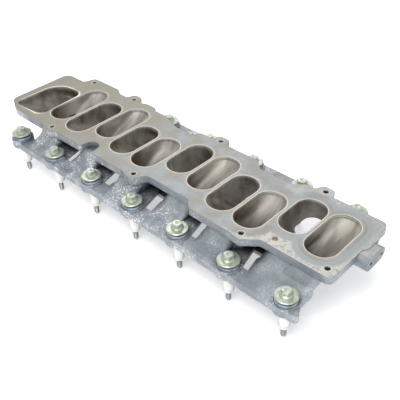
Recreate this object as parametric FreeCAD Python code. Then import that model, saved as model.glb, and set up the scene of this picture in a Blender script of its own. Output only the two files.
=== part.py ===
import FreeCAD, Part

import math
import os

Vector = FreeCAD.Vector
UP = Vector(0, 0, 1)

# ---------------------------------------------------------------------------
# Driving dimensions, in mm. Origin: centre of the top flange's upper face.
# +X runs along the engine, +Y to the far bank, +Z up.
# ---------------------------------------------------------------------------

# Top flange
TOP_THICK = 12.0            # thickness of the top flange
PORT_STEP = 52.0            # distance between neighbouring port centres
LAST_PORT_X = 293.5         # centre of port 12
PORT_WIDTH = 44.0           # inside width of a port along X
PORT_END_R = 21.0           # corner radius that rounds a port's ends
PORT_CHAMFER = 1.2          # bevel round each port mouth

# Bank flanges and bolts
BANK_Z = -48.0              # mating face of both bank flanges
FLANGE_TOP_Z = -36.0        # upper face of both bank flanges
BOLT_STEP = 94.0            # distance between neighbouring bolts
BOLT_Y = 96.0               # bolt lines lie at +/- this
NEAR_BOLT_X = -266.0        # first bolt of the near bank
FAR_BOLT_X = -289.0         # first bolt of the far bank
BOLTS_PER_BANK = 7
FLANGE_EDGE_Y = 111.5       # outer edge of a bank flange
FLANGE_INNER_Y = 87.0       # inner edge of its bolt rail
LOBE_R = 18.5               # flange lobe round each bolt

# Runner outlets in the bank faces
OUTLET_WIDTH = 36.0
OUTLET_INNER_Y = 22.0
OUTLET_OUTER_Y = 71.0
OUTLET_R = 17.0
OUTLET_SHIFT = 6.0          # outlet centre, from the middle of its two bolts
WALL = 4.5                  # wall of a runner along X
STEEP_WALL = 8.0            # wall along Y, where the runner slopes
RUNNER_SECTIONS = 5
RUNNER_TOP_Z = -5.0         # ducts run straight down to here, then sweep outwards

# Solid outer face of each near runner, where it meets the top flange and the
# bank flange. The far bank repeats them turned end for end.
NOSE_TOP_X = {2: (-234, -187), 4: (-129, -87), 6: (-34, 12),
              8: (59, 109), 10: (147, 197), 12: (244, 324)}
NOSE_FOOT_X = {2: (-240, -192), 4: (-141, -97), 6: (-39, 4),
               8: (51, 97), 10: (141, 187), 12: (234, 313)}
NOSE_TOP_Y = {2: 74.0, 4: 72.0, 6: 75.0, 8: 60.5, 10: 73.0, 12: 59.5}
NOSE_FOOT_Y = 107.0
NOSE_TOP_INNER_Y = 36.0
NOSE_FOOT_INNER_Y = 52.0
NOSE_R = 11.0
NOSE_LEAN = 13.0            # how much wider a nose is on its valley side
NOSE_TOP_Z = -10.0
NOSE_SHARES = (0.0, 0.3, 0.55, 0.78, 0.93, 1.0)
NOSE_FLARES = (0.0, 0.05, 0.15, 0.36, 0.68, 1.0)

# Ear past a bank's last bolt, and rib behind each inner bolt:
# distance along X from the bolt, distance from the centre line, corner radius
EAR_OUTLINE = [(-6, 111.5, 2), (22, 111.5, 4), (27, 106, 4), (11, 82, 5), (-6, 80, 4)]
RIB_OUTLINE = [(-12, 89, 2), (15, 89, 2), (3, 43, 2), (-22, 43, 2)]

# Valley floor between the banks
WEB_X = (-268.0, 276.0)
WEB_Y = (-46.0, 46.0)
WEB_THICK = 6.0

# Gusset under each end of the top flange
SKIRT_TOP_X = {"near": 319.0, "far": -318.0}
SKIRT_FOOT_X = {"near": 310.0, "far": -301.0}
SKIRT_TOP_Y = (40.0, 58.0)
SKIRT_FOOT_Y = (46.0, 76.0)
SKIRT_TOP_LENGTH = 40.0
SKIRT_FOOT_LENGTH = 52.0
SKIRT_Z = (-40.0, -6.0)

# Isolator collars
COLLAR_TOP_Z = -34.0
POCKET_FLOOR_Z = -41.0
POCKET_R = 15.8
RELIEF_R = 17.0             # room for a washer beside a runner
SPIGOT_HOLE_R = 10.0

# Isolator bush
BUSH_TOP_Z = -27.0
BUSH_R = 15.3
SPIGOT_R = 10.0
BUSH_BORE_R = 6.68

BUSH_GROOVE_Z = -30.5       # shallow groove round the bush's head
BUSH_GROOVE = 1.2           # its depth

# Washer, sleeve and bolt
WASHER_R = 16.0
WASHER_THICK = 2.0
RUNNING_HOLE_R = 4.08       # hole in washer and sleeve for the bolt to turn in
SLEEVE_R = 6.6
LIP_R = 8.1
LIP_TOP_Z = -79.5
LIP_BOTTOM_Z = -83.0
BOLT_R = 4.0
HEAD_FLANGE_R = 9.2
HEX_ACROSS_FLATS = 13.0
HEAD_HEIGHT = 8.5           # flange and hexagon together
HEX_TURN = 20.0             # degrees each hexagon is turned from the X axis
TIP_Z = -102.5
PILOT_R = 2.7               # plain point below the thread
PILOT_LENGTH = 3.0
THREAD_LENGTH = 24.0
THREAD_PITCH = 1.25
THREAD_DEPTH = 0.6

# Threaded holes
TOP_HOLE_DEPTH = 20.0
TOP_PAD_R = 7.8             # pad under each hole, for thread length
TOP_PAD_DEPTH = 5.0
TOP_HOLE_R = 3.4            # tapping bore of the top flange's M8 holes
TOP_HOLE_CHAMFER_R = 4.6
END_HOLE_R = 2.5            # tapping bore of the end boss's M6 holes
END_HOLE_DEPTH = 14.0

NEAR_HOLES = [(-204.0, -72.5), (-3.0, -72.5), (201.6, -68.5), (322.0, -48.3)]
FAR_HOLES = [(-270.0, 71.5), (-167.0, 76.7), (36.8, 76.7), (234.0, 76.7)]

# End boss
BOSS_START_X = 312.0
BOSS_END_X = 352.0
BOSS_CORNER_R = 10.4
BOSS_Y = (-7.0, 37.0)
BOSS_Z = (-22.0, -1.0)
BOSS_HOLES_Y = (4.0, 29.0)
BOSS_HOLE_Z = -11.5

# Plug
PLUG_XY = (241.5, -48.3)
PLUG_R = 4.0
PLUG_DEPTH = 9.0
PLUG_STAND = -0.2

# Near and far end of each port mouth (port 1 has its own outline)
PORT_ENDS_Y = {
    2: (-51.0, 58.0), 3: (-58.0, 45.0), 4: (-37.0, 61.0), 5: (-52.0, 33.0),
    6: (-54.0, 30.0), 7: (-29.0, 50.0), 8: (-38.0, 52.0), 9: (-54.0, 34.0),
    10: (-57.0, 29.0), 11: (-25.0, 51.0), 12: (-39.0, 52.0),
}
PORT_1_MOUTH = [(-318.0, -66.0, 9.0), (-251.0, -61.0, 14.0),
                (-256.0, 31.0, 15.0), (-316.0, 24.0, 34.0)]

# Outline of the top flange: x, y and corner radius, anticlockwise
TOP_OUTLINE = [
    (-334, -62, 15), (-300, -78, 20), (-220, -78, 6), (-212, -83.5, 7),
    (-196, -83.5, 7), (-188, -78, 6), (-123, -78, 4), (-118, -55, 11),
    (-98, -55, 11), (-93, -79, 4), (-19, -79, 6), (-11, -83.5, 7),
    (5, -83.5, 7), (16, -63, 8), (100, -63, 6), (115, -77, 8),
    (188, -77, 5), (195, -79, 6), (208, -79, 6), (229, -62, 8),
    (336, -62, 9), (336, 6, 4), (341, 14, 4), (341, 36, 6), (336, 52, 8),
    (336, 72.5, 17), (249, 72.5, 6), (244, 86, 8), (224, 86, 8), (219, 72.5, 6), (203, 72.5, 8), (187, 59, 8),
    (131, 59, 8), (113, 73.5, 8), (52, 73.5, 6), (47, 87, 8),
    (27, 87, 8), (22, 73.5, 6), (-4, 73.5, 8), (-10, 60, 8),
    (-47, 60, 8), (-84, 73.5, 10), (-108, 73.5, 5), (-117, 80, 7),
    (-137, 80, 7), (-154, 73.5, 5), (-157, 88, 8), (-177, 88, 8),
    (-182, 73.5, 6), (-201, 73.5, 6), (-215, 82, 10), (-252, 82, 10),
    (-260, 81.5, 8), (-280, 81.5, 8), (-286, 60, 8), (-334, 60, 14),
]


# ---------------------------------------------------------------------------
# Small shape helpers
# ---------------------------------------------------------------------------

def rounded_wire(corners, z):
    """Closed wire through the corners (x, y, radius), each one rounded."""
    arcs = []
    count = len(corners)
    for i, (x, y, radius) in enumerate(corners):
        here = Vector(x, y, z)
        back = Vector(*corners[i - 1][:2], z) - here
        ahead = Vector(*corners[(i + 1) % count][:2], z) - here
        back_length = back.Length
        ahead_length = ahead.Length
        back.normalize()
        ahead.normalize()
        half_angle = back.getAngle(ahead) / 2
        reach = min(radius / math.tan(half_angle), 0.48 * back_length, 0.48 * ahead_length)
        real_radius = reach * math.tan(half_angle)
        bisector = back + ahead
        bisector.normalize()
        centre = here + bisector * (real_radius / math.sin(half_angle))
        middle = centre - bisector * real_radius
        arcs.append((here + back * reach, middle, here + ahead * reach))
    edges = []
    for i, (start, middle, end) in enumerate(arcs):
        edges.append(Part.Arc(start, middle, end).toShape())
        edges.append(Part.makeLine(end, arcs[(i + 1) % count][0]))
    return Part.Wire(edges)


def prism(corners, z_low, z_high):
    """Solid between two heights with a rounded outline."""
    return Part.Face(rounded_wire(corners, z_low)).extrude(UP * (z_high - z_low))


def cylinder(x, y, radius, z_low, z_high):
    return Part.makeCylinder(radius, z_high - z_low, Vector(x, y, z_low))


def box_corners(x_low, x_high, y_low, y_high, radius):
    return [(x_low, y_low, radius), (x_high, y_low, radius),
            (x_high, y_high, radius), (x_low, y_high, radius)]


def grow(corners, along_x, along_y):
    """The same four corners moved outwards along X and Y."""
    mid_x = sum(corner[0] for corner in corners) / len(corners)
    mid_y = sum(corner[1] for corner in corners) / len(corners)
    return [(x + math.copysign(along_x, x - mid_x),
             y + math.copysign(along_y, y - mid_y),
             radius + along_x) for x, y, radius in corners]


def blend(first, second, x_share, y_share):
    """Corners part of the way from one outline to another."""
    shares = (x_share, y_share, y_share)
    return [tuple(a + (b - a) * share for a, b, share in zip(p, q, shares))
            for p, q in zip(first, second)]


def loft(sections, ruled=False):
    """Solid through (corners, z) sections."""
    wires = [rounded_wire(corners, z) for corners, z in sections]
    return Part.makeLoft(wires, True, ruled)


def turned(profile, x, y):
    """Solid of revolution about a vertical axis, from (radius, z) points."""
    points = [Vector(x + radius, y, z) for radius, z in profile]
    face = Part.Face(Part.makePolygon(points + points[:1]))
    return face.revolve(Vector(x, y, 0), UP, 360)


# ---------------------------------------------------------------------------
# Layout of ports, outlets and bolts
# ---------------------------------------------------------------------------

def bolt_positions(bank):
    first_x = NEAR_BOLT_X if bank == "near" else FAR_BOLT_X
    side = -1 if bank == "near" else 1
    return [(first_x + BOLT_STEP * i, side * BOLT_Y) for i in range(BOLTS_PER_BANK)]


def mouth_corners(port):
    """Port mouth in the top flange, as four rounded corners."""
    if port == 1:
        return PORT_1_MOUTH
    centre = LAST_PORT_X - PORT_STEP * (12 - port)
    near_end, far_end = PORT_ENDS_Y[port]
    half = PORT_WIDTH / 2
    return box_corners(centre - half, centre + half, near_end, far_end, PORT_END_R)


def outlet_corners(port):
    """Outlet in the bank face. Even ports serve the near bank."""
    near = port % 2 == 0
    first_x = NEAR_BOLT_X if near else FAR_BOLT_X
    cylinder_number = (port - 2) // 2 if near else (port - 1) // 2
    centre = first_x + BOLT_STEP * (cylinder_number + 0.5) + OUTLET_SHIFT
    half = OUTLET_WIDTH / 2
    low, high = (-OUTLET_OUTER_Y, -OUTLET_INNER_Y) if near else (OUTLET_INNER_Y, OUTLET_OUTER_Y)
    return box_corners(centre - half, centre + half, low, high, OUTLET_R)


def runner_loft(mouth, outlet):
    """Sweep from mouth to outlet. It moves along X last, when it is clear of its neighbours."""
    sections = []
    for i in range(RUNNER_SECTIONS):
        travel = i / (RUNNER_SECTIONS - 1)
        share = 0.5 * travel + 0.5 * travel ** 2 * (3 - 2 * travel)
        z = RUNNER_TOP_Z + (BANK_Z - RUNNER_TOP_Z) * travel
        sections.append((blend(mouth, outlet, share ** 2, share), z))
    return loft(sections)


def duct(port):
    """Air passage of one runner, run a little past both faces."""
    mouth = mouth_corners(port)
    outlet = outlet_corners(port)
    straight_in = prism(mouth, RUNNER_TOP_Z, 1.0)
    straight_out = prism(outlet, BANK_Z - 1.0, BANK_Z)
    return runner_loft(mouth, outlet).multiFuse([straight_in, straight_out])


def runner_skin(port):
    """Outside of one runner, a wall's thickness outside its duct."""
    return runner_loft(grow(mouth_corners(port), WALL, STEEP_WALL),
                       grow(outlet_corners(port), WALL, STEEP_WALL))


def nose_spans(port):
    """Left and right end of a runner's outer face, at its top and at its foot."""
    if port % 2 == 0:
        return NOSE_TOP_X[port], NOSE_FOOT_X[port]
    # The far bank is the near bank turned end for end.
    turned_about = NEAR_BOLT_X + FAR_BOLT_X + BOLT_STEP * (BOLTS_PER_BANK - 1)
    return [(turned_about - right, turned_about - left)
            for left, right in nose_spans(13 - port)]


def runner_nose(port):
    """Solid outer face of a runner, flared out onto the bank flange."""
    side = -1 if port % 2 == 0 else 1
    top_y = NOSE_TOP_Y[port if port % 2 == 0 else 13 - port]
    (top_left, top_right), (foot_left, foot_right) = nose_spans(port)
    sections = []
    for share, flare in zip(NOSE_SHARES, NOSE_FLARES):
        edge = top_y + (NOSE_FOOT_Y - top_y) * flare
        back = NOSE_TOP_INNER_Y + (NOSE_FOOT_INNER_Y - NOSE_TOP_INNER_Y) * share
        left = top_left + (foot_left - top_left) * share
        right = top_right + (foot_right - top_right) * share
        z = NOSE_TOP_Z + (FLANGE_TOP_Z - 1.0 - NOSE_TOP_Z) * share
        lean = side * NOSE_LEAN
        corners = [(left, side * edge, NOSE_R), (right, side * edge, NOSE_R),
                   (right + max(lean, 0.0), side * back, NOSE_R),
                   (left + min(lean, 0.0), side * back, NOSE_R)]
        sections.append((corners, z))
    foot = sections[-1][0]
    return loft(sections).fuse(prism(foot, BANK_Z, sections[-1][1]))


def runner_bodies():
    skins = [runner_skin(port) for port in range(1, 13)]
    noses = [runner_nose(port) for port in range(1, 13)]
    height = BANK_Z + TOP_THICK - 1.0
    span = Part.makeBox(800, 400, -height, Vector(-400, -200, BANK_Z))
    return skins[0].multiFuse(skins[1:] + noses).common(span)


# ---------------------------------------------------------------------------
# Casting
# ---------------------------------------------------------------------------

def top_flange():
    plate = prism(TOP_OUTLINE, -TOP_THICK, 0.0)
    for x, y in NEAR_HOLES + FAR_HOLES:
        plate = plate.fuse(cylinder(x, y, TOP_PAD_R, -TOP_THICK - TOP_PAD_DEPTH, -1.0))
    return plate


def end_boss():
    """Block with two threaded holes, standing out of the right end."""
    y_low, y_high = BOSS_Y
    z_low, z_high = BOSS_Z
    outline = box_corners(-z_high, -z_low, y_low, y_high, BOSS_CORNER_R)
    body = prism(outline, 0.0, BOSS_END_X - BOSS_START_X)
    body.rotate(Vector(0, 0, 0), Vector(0, 1, 0), 90)
    body.translate(Vector(BOSS_START_X, 0, 0))
    return body


def bank_flange(bank):
    side = -1 if bank == "near" else 1
    bolts = bolt_positions(bank)
    first_x = bolts[0][0]
    last_x = bolts[-1][0]
    low_y, high_y = sorted((side * FLANGE_EDGE_Y, side * FLANGE_INNER_Y))
    parts = [prism(box_corners(first_x, last_x, low_y, high_y, 2.0), BANK_Z, FLANGE_TOP_Z)]
    for x, y in bolts:
        parts.append(cylinder(x, y, LOBE_R, BANK_Z, COLLAR_TOP_Z))
    for x, y in bolts[1:-1]:
        parts.append(bolt_rib(x, side))
    parts.append(end_ear(bank))
    ports = range(2, 13, 2) if bank == "near" else range(1, 12, 2)
    for port in ports:
        foot = grow(outlet_corners(port), WALL + 0.5, WALL + 3.0)
        foot = [(x, side * (FLANGE_INNER_Y + 4) if y * side > OUTLET_OUTER_Y else y, 8.0)
                for x, y, _ in foot]
        parts.append(prism(foot, BANK_Z, FLANGE_TOP_Z))
    return parts


def beside_bolt(outline, bolt_x, turn, side):
    """Outline given from a bolt's centre, placed on one side of one bank."""
    return [(bolt_x + turn * along, side * across, radius) for along, across, radius in outline]


def end_ear(bank):
    """Triangular ear that carries the flange past its last bolt."""
    side, turn, last = (-1, 1, -1) if bank == "near" else (1, -1, 0)
    bolt_x = bolt_positions(bank)[last][0]
    return prism(beside_bolt(EAR_OUTLINE, bolt_x, turn, side), BANK_Z, FLANGE_TOP_Z)


def bolt_rib(bolt_x, side):
    """Web from a bolt collar back to the valley floor."""
    corners = beside_bolt(RIB_OUTLINE, bolt_x, -side, side)
    return prism(corners, BANK_Z + WEB_THICK, FLANGE_TOP_Z)


def end_skirt(bank):
    """Gusset from the top flange's corner down to the last collar."""
    side, turn = (-1, 1) if bank == "near" else (1, -1)
    sections = []
    for end_x, length, span_y, z in (
            (SKIRT_TOP_X[bank], SKIRT_TOP_LENGTH, SKIRT_TOP_Y, SKIRT_Z[1]),
            (SKIRT_FOOT_X[bank], SKIRT_FOOT_LENGTH, SKIRT_FOOT_Y, SKIRT_Z[0])):
        along = sorted((end_x - turn * length, end_x))
        across = sorted((side * span_y[0], side * span_y[1]))
        sections.append((box_corners(*along, *across, 7.0), z))
    return loft(sections, ruled=True)


def valley_web():
    """Floor that ties the two banks together between the runners."""
    return prism(box_corners(*WEB_X, *WEB_Y, 10.0), BANK_Z, BANK_Z + WEB_THICK)


def collar_cut(x, y):
    """Pocket and spigot hole for one isolator bush."""
    relief = cylinder(x, y, RELIEF_R, COLLAR_TOP_Z, -TOP_THICK)
    pocket = cylinder(x, y, POCKET_R, POCKET_FLOOR_Z, COLLAR_TOP_Z + 1.0)
    hole = cylinder(x, y, SPIGOT_HOLE_R, BANK_Z - 1.0, POCKET_FLOOR_Z + 1.0)
    return [relief, pocket, hole]


def threaded_hole_cut(x, y):
    bore = cylinder(x, y, TOP_HOLE_R, -TOP_HOLE_DEPTH, 1.0)
    bevel_depth = TOP_HOLE_CHAMFER_R - TOP_HOLE_R
    bevel = Part.makeCone(TOP_HOLE_R, TOP_HOLE_CHAMFER_R, bevel_depth, Vector(x, y, -bevel_depth))
    return [bore, bevel]


def mouth_bevel(port):
    """Bevel that brightens the rim of a port mouth."""
    mouth = mouth_corners(port)
    lap = 0.5  # runs past both edges so that the cut leaves no sliver
    inner = grow(mouth, -lap, -lap)
    outer = grow(mouth, PORT_CHAMFER + lap, PORT_CHAMFER + lap)
    return loft([(inner, -PORT_CHAMFER - lap), (outer, lap)], ruled=True)


def end_hole_cut(y):
    start = Vector(BOSS_END_X - END_HOLE_DEPTH, y, BOSS_HOLE_Z)
    return Part.makeCylinder(END_HOLE_R, END_HOLE_DEPTH + 1.0, start, Vector(1, 0, 0))


def casting():
    solids = [top_flange(), end_boss(), valley_web(), runner_bodies()]
    for bank in ("near", "far"):
        solids += bank_flange(bank)
        solids.append(end_skirt(bank))
    body = solids[0].multiFuse(solids[1:])
    cuts = [duct(port) for port in range(1, 13)]
    cuts += [mouth_bevel(port) for port in range(1, 13)]
    for bank in ("near", "far"):
        for x, y in bolt_positions(bank):
            cuts += collar_cut(x, y)
    for x, y in NEAR_HOLES + FAR_HOLES:
        cuts += threaded_hole_cut(x, y)
    cuts += [end_hole_cut(y) for y in BOSS_HOLES_Y]
    cuts.append(cylinder(*PLUG_XY, PLUG_R, -PLUG_DEPTH, 1.0))
    return body.cut(cuts).removeSplitter()


# ---------------------------------------------------------------------------
# Small pieces
# ---------------------------------------------------------------------------

def isolator(x, y):
    """Rubber bush: a thick head in the collar and a spigot through it."""
    profile = [(BUSH_BORE_R, BANK_Z), (SPIGOT_R, BANK_Z), (SPIGOT_R, POCKET_FLOOR_Z),
               (BUSH_R, POCKET_FLOOR_Z), (BUSH_R, BUSH_GROOVE_Z - 1.0),
               (BUSH_R - BUSH_GROOVE, BUSH_GROOVE_Z), (BUSH_R, BUSH_GROOVE_Z + 1.0),
               (BUSH_R, BUSH_TOP_Z - 0.8), (BUSH_R - 0.8, BUSH_TOP_Z),
               (BUSH_BORE_R, BUSH_TOP_Z)]
    return turned(profile, x, y)


def washer(x, y):
    top = BUSH_TOP_Z + WASHER_THICK
    profile = [(RUNNING_HOLE_R, BUSH_TOP_Z), (WASHER_R - 0.4, BUSH_TOP_Z),
               (WASHER_R, BUSH_TOP_Z + 0.4), (WASHER_R, top - 0.8),
               (WASHER_R - 1.0, top), (RUNNING_HOLE_R, top)]
    return turned(profile, x, y)


def sleeve(x, y):
    """Spacer sleeve with a lip that stops the bolt lifting out."""
    profile = [(RUNNING_HOLE_R, LIP_BOTTOM_Z), (LIP_R - 1.2, LIP_BOTTOM_Z),
               (LIP_R, LIP_BOTTOM_Z + 1.2), (LIP_R, LIP_TOP_Z - 0.8),
               (LIP_R - 0.8, LIP_TOP_Z), (SLEEVE_R, LIP_TOP_Z),
               (SLEEVE_R, BUSH_TOP_Z), (RUNNING_HOLE_R, BUSH_TOP_Z)]
    return turned(profile, x, y)


def bolt_shank(x, y, seat):
    """Pilot point, thread rings, shank and head flange, up to the hexagon."""
    profile = [(0, TIP_Z), (PILOT_R - 1.1, TIP_Z), (PILOT_R, TIP_Z + 1.6),
               (PILOT_R, TIP_Z + PILOT_LENGTH)]
    thread_start = TIP_Z + PILOT_LENGTH + 0.6
    turns = int(THREAD_LENGTH / THREAD_PITCH)
    for i in range(turns):
        z = thread_start + i * THREAD_PITCH
        profile.append((BOLT_R - THREAD_DEPTH, z))
        profile.append((BOLT_R, z + THREAD_PITCH / 2))
    profile += [(BOLT_R, thread_start + turns * THREAD_PITCH), (BOLT_R, seat),
                (HEAD_FLANGE_R, seat), (HEAD_FLANGE_R, seat + 1.3),
                (HEAD_FLANGE_R - 0.5, seat + 1.6), (6.3, seat + 2.9), (0, seat + 2.9)]
    return turned(profile, x, y)


def hex_head(x, y, seat):
    """Hexagon with its upper corners turned off."""
    top = seat + HEAD_HEIGHT
    corner_r = HEX_ACROSS_FLATS / math.sqrt(3)
    corners = []
    for i in range(6):
        angle = math.radians(60 * i + HEX_TURN)
        corners.append(Vector(x + corner_r * math.cos(angle),
                              y + corner_r * math.sin(angle), seat + 1.5))
    hexagon = Part.Face(Part.makePolygon(corners + corners[:1])).extrude(UP * (HEAD_HEIGHT - 1.5))
    dome = turned([(0, seat), (9.0, seat), (9.0, top - 1.6), (6.0, top), (0, top)], x, y)
    return hexagon.common(dome)


def bolt(x, y):
    """Hex flange bolt with a thread and a plain pilot point."""
    seat = BUSH_TOP_Z + WASHER_THICK
    dimple_depth = 0.7
    dimple_z = seat + HEAD_HEIGHT - dimple_depth
    dimple = Part.makeCone(0.01, 3.2, dimple_depth, Vector(x, y, dimple_z))
    return bolt_shank(x, y, seat).fuse(hex_head(x, y, seat)).cut(dimple).removeSplitter()


def plug():
    x, y = PLUG_XY
    profile = [(0, -PLUG_DEPTH), (PLUG_R, -PLUG_DEPTH), (PLUG_R, PLUG_STAND - 0.4),
               (PLUG_R - 0.4, PLUG_STAND), (2.2, PLUG_STAND), (1.4, -0.8), (0, -0.8)]
    return turned(profile, x, y)


# ---------------------------------------------------------------------------
# Export
# ---------------------------------------------------------------------------

def save(node, shape):
    shape.exportStep(os.path.join("parts", node + ".step"))


def main():
    os.makedirs("parts", exist_ok=True)
    save("casting", casting())
    save("plug", plug())
    for bank in ("near", "far"):
        positions = bolt_positions(bank)
        save("isolators_" + bank, Part.makeCompound([isolator(x, y) for x, y in positions]))
        for number, (x, y) in enumerate(positions, start=1):
            save(f"washer_{bank}_{number}", washer(x, y))
            save(f"sleeve_{bank}_{number}", sleeve(x, y))
            save(f"bolt_{bank}_{number}", bolt(x, y))


main()
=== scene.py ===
import math

import bpy
from mathutils import Matrix, Vector


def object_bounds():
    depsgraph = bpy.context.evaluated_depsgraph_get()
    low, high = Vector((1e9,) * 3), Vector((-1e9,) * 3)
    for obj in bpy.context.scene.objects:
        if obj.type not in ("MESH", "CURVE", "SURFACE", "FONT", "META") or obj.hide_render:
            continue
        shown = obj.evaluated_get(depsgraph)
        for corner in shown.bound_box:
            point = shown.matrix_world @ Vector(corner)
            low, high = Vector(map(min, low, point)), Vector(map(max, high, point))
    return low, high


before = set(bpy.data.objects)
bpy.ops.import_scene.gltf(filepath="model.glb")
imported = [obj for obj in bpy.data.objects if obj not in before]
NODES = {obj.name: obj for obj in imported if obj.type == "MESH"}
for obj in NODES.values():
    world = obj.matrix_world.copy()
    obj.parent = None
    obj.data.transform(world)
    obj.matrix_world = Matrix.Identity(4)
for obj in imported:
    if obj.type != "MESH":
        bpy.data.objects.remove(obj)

bpy.context.scene.view_settings.view_transform = "Standard"
START_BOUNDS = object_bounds()
BANKS = ("near", "far")
BOLTS_PER_BANK = 7


# ---------------------------------------------------------------------------
# Shader helpers
# ---------------------------------------------------------------------------

class Graph:
    """Short names for building one material's node tree."""

    def __init__(self, name):
        self.material = bpy.data.materials.new(name)
        self.material.use_nodes = True
        self.tree = self.material.node_tree
        self.tree.nodes.clear()
        self.shader = self.add("ShaderNodeBsdfPrincipled")
        output = self.add("ShaderNodeOutputMaterial")
        self.link(self.shader.outputs[0], output.inputs["Surface"])
        self.position = self.add("ShaderNodeTexCoord").outputs["Object"]
        self.normal = self.add("ShaderNodeNewGeometry").outputs["Normal"]

    def add(self, kind, **settings):
        node = self.tree.nodes.new(kind)
        for key, value in settings.items():
            setattr(node, key, value)
        return node

    def link(self, source, target):
        self.tree.links.new(source, target)

    def put(self, value, socket):
        """Links a socket, or sets a plain value."""
        if isinstance(value, bpy.types.NodeSocket):
            self.link(value, socket)
        else:
            socket.default_value = value

    def math(self, operation, first, second=0.0, clamp=False):
        node = self.add("ShaderNodeMath", operation=operation, use_clamp=clamp)
        self.put(first, node.inputs[0])
        self.put(second, node.inputs[1])
        return node.outputs[0]

    def vector(self, operation, first, second=(0, 0, 0)):
        node = self.add("ShaderNodeVectorMath", operation=operation)
        self.put(first, node.inputs[0])
        self.put(second, node.inputs[1])
        return node.outputs["Value" if operation in ("LENGTH", "DOT_PRODUCT") else "Vector"]

    def split(self, vector):
        return self.add_linked("ShaderNodeSeparateXYZ", vector).outputs

    def add_linked(self, kind, source, **settings):
        node = self.add(kind, **settings)
        self.link(source, node.inputs[0])
        return node

    def noise(self, scale, detail=4.0, roughness=0.55, stretch=(1, 1, 1), offset=0.0):
        place = self.vector("MULTIPLY", self.position, stretch)
        if offset:
            place = self.vector("ADD", place, (offset, offset, offset))
        node = self.add("ShaderNodeTexNoise")
        self.link(place, node.inputs["Vector"])
        node.inputs["Scale"].default_value = scale
        node.inputs["Detail"].default_value = detail
        node.inputs["Roughness"].default_value = roughness
        return node.outputs["Fac"]

    def step(self, value, low, high, start=0.0, end=1.0):
        """Smooth change from start to end as value goes from low to high."""
        node = self.add("ShaderNodeMapRange", interpolation_type="SMOOTHSTEP")
        self.link(value, node.inputs["Value"])
        node.inputs["From Min"].default_value = low
        node.inputs["From Max"].default_value = high
        node.inputs["To Min"].default_value = start
        node.inputs["To Max"].default_value = end
        return node.outputs["Result"]

    def mix(self, share, first, second):
        node = self.add("ShaderNodeMix", data_type="RGBA")
        self.put(share, node.inputs["Factor"])
        self.put(rgba(first), node.inputs["A"])
        self.put(rgba(second), node.inputs["B"])
        return node.outputs["Result"]

    def all_of(self, *shares):
        result = shares[0]
        for share in shares[1:]:
            result = self.math("MULTIPLY", result, share)
        return result

    def bump(self, heights, rounding=0.0):
        """Chains (height, strength, distance) bumps on a softly rounded normal."""
        normal = None
        if rounding:
            bevel = self.add("ShaderNodeBevel", samples=4)
            bevel.inputs["Radius"].default_value = rounding
            normal = bevel.outputs["Normal"]
        for height, strength, distance in heights:
            node = self.add("ShaderNodeBump")
            self.link(height, node.inputs["Height"])
            self.put(strength, node.inputs["Strength"])
            node.inputs["Distance"].default_value = distance
            if normal is not None:
                self.link(normal, node.inputs["Normal"])
            normal = node.outputs["Normal"]
        self.link(normal, self.shader.inputs["Normal"])

    def finish(self, colour, roughness, metallic):
        self.put(rgba(colour), self.shader.inputs["Base Color"])
        self.put(roughness, self.shader.inputs["Roughness"])
        self.put(metallic, self.shader.inputs["Metallic"])
        return self.material


def rgba(colour):
    if isinstance(colour, tuple) and len(colour) == 3:
        return (*colour, 1.0)
    return colour


# ---------------------------------------------------------------------------
# Ports of the top flange, for the stains and painted highlight rims round them (metres)
# ---------------------------------------------------------------------------

PORT_STEP = 0.052
LAST_PORT_X = 0.2935
PORT_HALF_WIDTH = 0.022
PORT_END_R = 0.021
PORT_ENDS_Y = {
    2: (-0.051, 0.058), 3: (-0.058, 0.045), 4: (-0.037, 0.061), 5: (-0.052, 0.033),
    6: (-0.054, 0.030), 7: (-0.029, 0.050), 8: (-0.038, 0.052), 9: (-0.054, 0.034),
    10: (-0.057, 0.029), 11: (-0.025, 0.051), 12: (-0.039, 0.052),
}
PORT_1_BOX = (-0.3175, -0.2535, -0.0640, 0.0290)
PORT_1_R = 0.012
PORT_1_WIDE_R = 0.034
FIRST_BOLT_X = {"near": -0.266, "far": -0.289}
BOLT_STEP = 0.094
OUTLET_HALF_WIDTH = 0.018
OUTLET_SHIFT = 0.006
OUTLET_INNER_Y = 0.022
OUTLET_OUTER_Y = 0.071
OUTLET_R = 0.017
SWEEP_TOP_Z = -0.005
SWEEP_DEPTH = 0.043
TOP_HOLES = [(-0.204, -0.0725), (-0.003, -0.0725), (0.2016, -0.0685), (0.322, -0.0483),
             (-0.270, 0.0715), (-0.167, 0.0767), (0.0368, 0.0767), (0.234, 0.0767)]


def port_box(port):
    """Left, right, near and far limit of a port mouth."""
    if port == 1:
        return PORT_1_BOX
    centre = LAST_PORT_X - PORT_STEP * (12 - port)
    low, high = PORT_ENDS_Y[port]
    return centre - PORT_HALF_WIDTH, centre + PORT_HALF_WIDTH, low, high


def outlet_box(port):
    """The same for its outlet in the bank face. Even ports serve the near bank."""
    bank = "near" if port % 2 == 0 else "far"
    between = (port - 1) // 2 + 0.5
    centre = FIRST_BOLT_X[bank] + BOLT_STEP * between + OUTLET_SHIFT
    left, right = centre - OUTLET_HALF_WIDTH, centre + OUTLET_HALF_WIDTH
    if bank == "near":
        return left, right, -OUTLET_OUTER_Y, -OUTLET_INNER_Y
    return left, right, OUTLET_INNER_Y, OUTLET_OUTER_Y


def middle_and_core(box, radius):
    left, right, low, high = box
    middle = Vector(((left + right) / 2, (low + high) / 2, 0))
    core = Vector(((right - left) / 2 - radius, (high - low) / 2 - radius, 0))
    return middle, core


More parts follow.
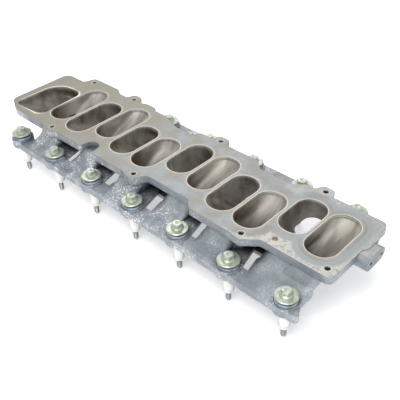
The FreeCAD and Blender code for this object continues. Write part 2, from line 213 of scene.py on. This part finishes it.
def sweep_share(g, z):
    """How far a duct has moved from its mouth to its outlet at a height."""
    travel = g.math("DIVIDE", g.math("SUBTRACT", SWEEP_TOP_Z, z), SWEEP_DEPTH)
    travel = g.math("MINIMUM", g.math("MAXIMUM", travel, 0.0), 1.0)
    eased = g.step(travel, 0.0, 1.0)
    return g.math("MULTIPLY", g.math("ADD", travel, eased), 0.5)


def duct_distance(g, ports, share):
    """Distance from the nearest of these ducts' walls, negative inside them."""
    flat = g.vector("MULTIPLY", g.position, (1, 1, 0))
    shares = g.add("ShaderNodeCombineXYZ")
    g.link(g.math("MULTIPLY", share, share), shares.inputs[0])
    g.link(share, shares.inputs[1])
    shares = shares.outputs[0]
    plain_radius = g.math("SUBTRACT", PORT_END_R,
                          g.math("MULTIPLY", share, PORT_END_R - OUTLET_R))
    nearest = None
    for port in ports:
        middle, core = middle_and_core(port_box(port), PORT_END_R)
        last_middle, last_core = middle_and_core(outlet_box(port), OUTLET_R)
        centre = g.vector("MULTIPLY", shares, last_middle - middle)
        place = g.vector("SUBTRACT", flat, g.vector("ADD", centre, middle))
        radius = plain_radius
        size = g.vector("ADD", g.vector("MULTIPLY", shares, last_core - core), core)
        if port == 1:
            # One corner of this mouth is much rounder than the others.
            across, along, _ = g.split(place)
            wide = g.all_of(g.math("LESS_THAN", across, 0.0),
                            g.math("GREATER_THAN", along, 0.0))
            change = g.math("ADD", PORT_1_R - PORT_END_R,
                            g.math("MULTIPLY", wide, PORT_1_WIDE_R - PORT_1_R))
            change = g.math("MULTIPLY", change, g.math("SUBTRACT", 1.0, share))
            radius = g.math("ADD", plain_radius, change)
            size = g.vector("SUBTRACT", size, g.vector("MULTIPLY", (1, 1, 0), change))
        place = g.vector("ABSOLUTE", place)
        place = g.vector("MAXIMUM", g.vector("SUBTRACT", place, size))
        distance = g.math("SUBTRACT", g.vector("LENGTH", place), radius)
        nearest = distance if nearest is None else g.math("MINIMUM", nearest, distance)
    return nearest


# ---------------------------------------------------------------------------
# Materials
# ---------------------------------------------------------------------------

CAST_DARK = (0.190, 0.214, 0.240)
CAST_MID = (0.290, 0.322, 0.352)
CAST_LIGHT = (0.440, 0.478, 0.510)
GLINT_WHITE = (0.93, 0.95, 0.97)
SHEEN_GREY = (0.52, 0.57, 0.62)
OLIVE = (0.295, 0.285, 0.220)
OCHRE = (0.360, 0.300, 0.185)
BEIGE = (0.560, 0.515, 0.400)
CREAM = (0.900, 0.860, 0.720)
SHADE_BLACK = (0.030, 0.026, 0.024)
BROWN = (0.105, 0.078, 0.052)
BORE_GREY = (0.300, 0.282, 0.250)
BORE_PALE = (0.500, 0.475, 0.420)
MACHINED = (0.375, 0.405, 0.420)
TOP_GREY = (0.310, 0.318, 0.312)
SCUFFED = (0.780, 0.770, 0.710)


def casting_material():
    g = Graph("cast_aluminium")
    x, y, z = g.split(g.position)
    up = g.split(g.normal)[2]

    # Where each finish lies
    top_face = g.all_of(g.step(up, 0.80, 0.95), g.step(z, -0.0016, -0.0008))
    share = sweep_share(g, z)
    odd = duct_distance(g, range(1, 13, 2), share)
    even = duct_distance(g, range(2, 13, 2), share)
    distance = g.math("MINIMUM", odd, even)
    hole = hole_distance(g)
    left = g.step(x, 0.10, -0.25)

    # As-cast skin: cloudy blue-grey, with painted shade in hollows and painted sheen and
    # glints on the outer faces
    cloud = g.noise(26.0, 6.0, 0.6)
    grain = g.noise(420.0, 3.0, 0.6, offset=3.0)
    skin = g.mix(g.step(cloud, 0.30, 0.70), CAST_DARK, CAST_LIGHT)
    skin = g.mix(g.step(grain, 0.35, 0.7), skin, CAST_MID)
    # Painted shade: ambient occlusion darkens the hollows to near black
    skin = g.mix(hollow_share(g), skin, SHADE_BLACK)
    glint_noise = g.noise(330.0, 3.0, 0.62, offset=7.0)
    patches = g.noise(30.0, 3.0, 0.6, offset=5.0)
    outward = g.step(g.math("ABSOLUTE", y), 0.058, 0.072)
    # Painted sheen: pale patches on the outer faces below the top
    sheen_patches = g.all_of(g.step(patches, 0.44, 0.60), g.step(x, 0.22, -0.04, 0.35, 1.0),
                       g.step(z, -0.0005, -0.004), outward)
    # Painted glints: white specks standing in for the sparkle of the cast grain
    painted_glints = g.all_of(g.step(glint_noise, 0.54, 0.60), sheen_patches)
    skin = g.mix(g.math("MULTIPLY", sheen_patches, 0.40), skin, SHEEN_GREY)
    skin = g.mix(painted_glints, skin, GLINT_WHITE)

    # Machined top face with old gasket stains, and painted highlights round the ports and
    # holes
    blotch = g.noise(30.0, 7.0, 0.62, offset=11.0)
    fine = g.noise(150.0, 5.0, 0.7, offset=13.0)
    top = g.mix(g.step(blotch, 0.36, 0.66), TOP_GREY, MACHINED)
    top = g.mix(g.math("MULTIPLY", left, 0.75), top, OLIVE)
    stain = g.all_of(g.step(fine, 0.45, 0.62), g.step(blotch, 0.60, 0.46))
    top = g.mix(g.math("MULTIPLY", stain, 0.55), top, OCHRE)
    wander = g.math("ADD", distance, g.math("MULTIPLY", fine, 0.005))
    halo = g.step(wander, 0.0090, 0.0030)
    top = g.mix(g.math("MULTIPLY", halo, 0.60), top, BEIGE)
    ring = g.all_of(g.step(distance, 0.0075, 0.0095), g.step(distance, 0.0190, 0.0165),
                    g.step(x, 0.235, 0.262))
    top = g.mix(g.math("MULTIPLY", ring, 0.8), top, MACHINED)
    raw = g.all_of(g.step(distance, 0.0150, 0.0195), g.step(fine, 0.32, 0.56),
                   g.step(x, 0.12, 0.25), g.step(y, 0.02, -0.045, 0.5, 1.0))
    top = g.mix(g.math("MULTIPLY", raw, 0.60), top, SCUFFED)
    # Painted highlight: a thin cream line round each port mouth, in place of a chamfer's
    # gleam
    rim_highlight = g.step(distance, 0.0027, 0.0017)
    top = g.mix(g.math("MULTIPLY", rim_highlight, g.step(fine, 0.28, 0.48)), top, CREAM)
    # Painted highlight: a cream ring round each threaded hole
    hole_chamfer_highlight = g.all_of(g.step(hole, 0.0062, 0.0042), g.step(hole, 0.0010, 0.0014))
    top = g.mix(g.math("MULTIPLY", hole_chamfer_highlight, g.step(fine, 0.2, 0.5, 0.4, 0.9)), top, CREAM)
    colour = g.mix(top_face, skin, top)

    # Runner bores: brown deposits low on the near side, paler metal above, painted shade
    # deeper down
    bore_cloud = g.noise(40.0, 5.0, 0.55, (1, 1, 0.4), 17.0)
    streak = g.noise(70.0, 3.0, 0.5, (1.0, 0.25, 0.35), 19.0)
    odd_bore = g.mix(g.step(bore_cloud, 0.35, 0.7), BORE_GREY, BROWN)
    even_bore = g.mix(g.step(streak, 0.40, 0.62), BORE_GREY, BORE_PALE)
    near_low = g.all_of(g.step(y, 0.006, -0.036), g.step(bore_cloud, 0.25, 0.55, 0.5, 0.95),
                        g.step(z, -0.046, -0.030, 0.45, 1.0))
    even_bore = g.mix(near_low, even_bore, BROWN)
    # Painted shade: each bore darkens with depth below the top face
    depth = g.step(z, -0.006, -0.046)
    odd_bore = g.mix(g.math("MULTIPLY", depth, 0.40), odd_bore, SHADE_BLACK)
    even_bore = g.mix(g.math("MULTIPLY", depth, 0.55), even_bore, SHADE_BLACK)
    below_top = g.step(z, -0.0008, -0.0014)
    colour = g.mix(g.all_of(g.step(odd, 0.0026, 0.0020), below_top), colour, odd_bore)
    colour = g.mix(g.all_of(g.step(even, 0.0026, 0.0020), below_top), colour, even_bore)

    roughness = g.math("ADD", 0.40, g.math("MULTIPLY", grain, 0.25))
    roughness = g.math("SUBTRACT", roughness, g.math("MULTIPLY", painted_glints, 0.25))
    cast_strength = g.step(top_face, 0.0, 1.0, 0.55, 0.12)
    g.bump([(grain, cast_strength, 0.0009), (cloud, 0.35, 0.003),
            (glint_noise, g.math("MULTIPLY", painted_glints, 0.8), 0.0012)], rounding=0.0012)
    return g.finish(colour, roughness, 0.35)


def hole_distance(g):
    """Distance from the nearest threaded hole's axis in the top face."""
    flat = g.vector("MULTIPLY", g.position, (1, 1, 0))
    nearest = None
    for x, y in TOP_HOLES:
        distance = g.vector("LENGTH", g.vector("SUBTRACT", flat, (x, y, 0)))
        nearest = distance if nearest is None else g.math("MINIMUM", nearest, distance)
    return nearest


def hollow_share(g):
    """How far a spot lies in a shaded hollow, from 0 to almost 1; it sets the painted
    shade.
    """
    occlusion = g.add("ShaderNodeAmbientOcclusion", samples=6)
    occlusion.inputs["Distance"].default_value = 0.035
    return g.step(occlusion.outputs["AO"], 0.75, 0.25, 0.0, 0.85)


def zinc_material():
    """Pale yellow-green passivated zinc, duller and darker where it is worn."""
    g = Graph("zinc")
    cloud = g.noise(150.0, 5.0, 0.6)
    grain = g.noise(900.0, 2.0)
    colour = g.mix(g.step(cloud, 0.3, 0.7), (0.62, 0.66, 0.55), (0.42, 0.47, 0.40))
    wear = g.step(g.noise(420.0, 4.0, 0.65, offset=4.0), 0.58, 0.68)
    colour = g.mix(g.math("MULTIPLY", wear, 0.5), colour, (0.20, 0.19, 0.15))
    tip = g.step(g.split(g.position)[2], -0.079, -0.081)
    colour = g.mix(tip, colour, (0.42, 0.44, 0.46))
    g.bump([(grain, 0.15, 0.0003), (cloud, 0.15, 0.0006)], rounding=0.0003)
    return g.finish(colour, g.math("ADD", 0.26, g.math("MULTIPLY", cloud, 0.25)), 0.65)


def rubber_material():
    """Dark blue-grey rubber with a painted pale blue highlight low down."""
    g = Graph("rubber")
    cloud = g.noise(120.0, 5.0, 0.6)
    low = g.step(g.split(g.position)[2], -0.0290, -0.0305)
    colour = g.mix(g.step(cloud, 0.35, 0.7), (0.028, 0.036, 0.052), (0.075, 0.095, 0.125))
    # Painted highlight: pale blue on the lower part of each isolator
    pale_highlight = g.mix(g.step(cloud, 0.35, 0.65), (0.22, 0.29, 0.38), (0.46, 0.54, 0.63))
    colour = g.mix(g.math("MULTIPLY", low, 0.85), colour, pale_highlight)
    g.bump([(g.noise(700.0, 3.0), 0.25, 0.0004)], rounding=0.0004)
    return g.finish(colour, g.step(cloud, 0.3, 0.7, 0.28, 0.5), 0.0)


def cream_material():
    """Cream moulded plastic, darker towards the lower end."""
    g = Graph("cream_plastic")
    cloud = g.noise(140.0, 5.0, 0.6)
    colour = g.mix(g.step(cloud, 0.35, 0.75), (0.97, 0.97, 0.93), (0.90, 0.89, 0.82))
    specks = g.step(g.noise(520.0, 3.0, offset=6.0), 0.64, 0.70)
    colour = g.mix(g.math("MULTIPLY", specks, 0.5), colour, (0.22, 0.19, 0.14))
    # Darker towards the lower end
    lower_darkening = g.step(g.split(g.position)[2], -0.074, -0.083, 0.0, 0.22)
    colour = g.mix(lower_darkening, colour, (0.40, 0.38, 0.32))
    g.bump([(cloud, 0.1, 0.0005)], rounding=0.0003)
    return g.finish(colour, g.step(cloud, 0.3, 0.7, 0.35, 0.5), 0.0)


def copper_material():
    g = Graph("copper")
    cloud = g.noise(300.0, 5.0, 0.6)
    colour = g.mix(g.step(cloud, 0.35, 0.7), (0.40, 0.22, 0.14), (0.20, 0.13, 0.09))
    g.bump([(cloud, 0.2, 0.0003)], rounding=0.0003)
    return g.finish(colour, g.step(cloud, 0.3, 0.7, 0.35, 0.6), 0.6)


def floor_material():
    g = Graph("studio_floor")
    cloud = g.noise(3.0, 4.0)
    colour = g.mix(cloud, (0.90, 0.90, 0.90), (0.93, 0.93, 0.93))
    g.shader.inputs["Emission Color"].default_value = (1.0, 1.0, 1.0, 1.0)
    g.shader.inputs["Emission Strength"].default_value = 0.34
    return g.finish(colour, 0.75, 0.0)


def dress(node, material):
    mesh = NODES[node].data
    if mesh.materials:
        for index in range(len(mesh.materials)):
            mesh.materials[index] = material
    else:
        mesh.materials.append(material)


# ---------------------------------------------------------------------------
# Scene
# ---------------------------------------------------------------------------

def dress_frame():
    zinc = zinc_material()
    cream = cream_material()
    rubber = rubber_material()
    dress("casting", casting_material())
    dress("plug", copper_material())
    for bank in BANKS:
        dress("isolators_" + bank, rubber)
        for number in range(1, BOLTS_PER_BANK + 1):
            dress(f"washer_{bank}_{number}", zinc)
            dress(f"bolt_{bank}_{number}", zinc)
            dress(f"sleeve_{bank}_{number}", cream)


def add_floor():
    mesh = bpy.data.meshes.new("floor")
    size = 6.0
    level = START_BOUNDS[0][2] - 0.0005
    corners = [(-size, -size, level), (size, -size, level), (size, size, level),
               (-size, size, level)]
    mesh.from_pydata(corners, [], [(0, 1, 2, 3)])
    floor = bpy.data.objects.new("floor", mesh)
    bpy.context.scene.collection.objects.link(floor)
    mesh.materials.append(floor_material())


def add_light(name, location, target, size, power):
    data = bpy.data.lights.new(name, "AREA")
    data.shape = "RECTANGLE"
    data.size, data.size_y = size
    data.energy = power
    light = bpy.data.objects.new(name, data)
    bpy.context.scene.collection.objects.link(light)
    light.location = location
    aim = Vector(target) - Vector(location)
    light.rotation_euler = aim.to_track_quat("-Z", "Y").to_euler()


def add_lights():
    world = bpy.data.worlds.new("studio")
    bpy.context.scene.world = world
    world.use_nodes = True
    background = world.node_tree.nodes["Background"]
    background.inputs["Color"].default_value = (1.0, 1.0, 1.0, 1.0)
    background.inputs["Strength"].default_value = 0.62
    add_light("key", (0.5, -0.9, 1.5), (0, 0, -0.03), (0.9, 0.7), 17.0)
    add_light("back", (-0.9, 0.9, 1.1), (0, 0, -0.03), (1.2, 0.5), 6.0)


def add_camera():
    data = bpy.data.cameras.new("camera")
    data.sensor_width = 36.0
    data.lens = 56.5
    data.clip_start = 0.01
    camera = bpy.data.objects.new("camera", data)
    bpy.context.scene.collection.objects.link(camera)
    right = Vector((0.7273, 0.6857, -0.0277)).normalized()
    back = Vector((0.5503, -0.5586, 0.6206)).normalized()
    above = back.cross(right).normalized()
    right = above.cross(back)
    place = Matrix((right, above, back)).transposed().to_4x4()
    place.translation = (0.5943, -0.5408, 0.5412)
    camera.matrix_world = place
    bpy.context.scene.camera = camera


dress_frame()
add_floor()
add_lights()
add_camera()
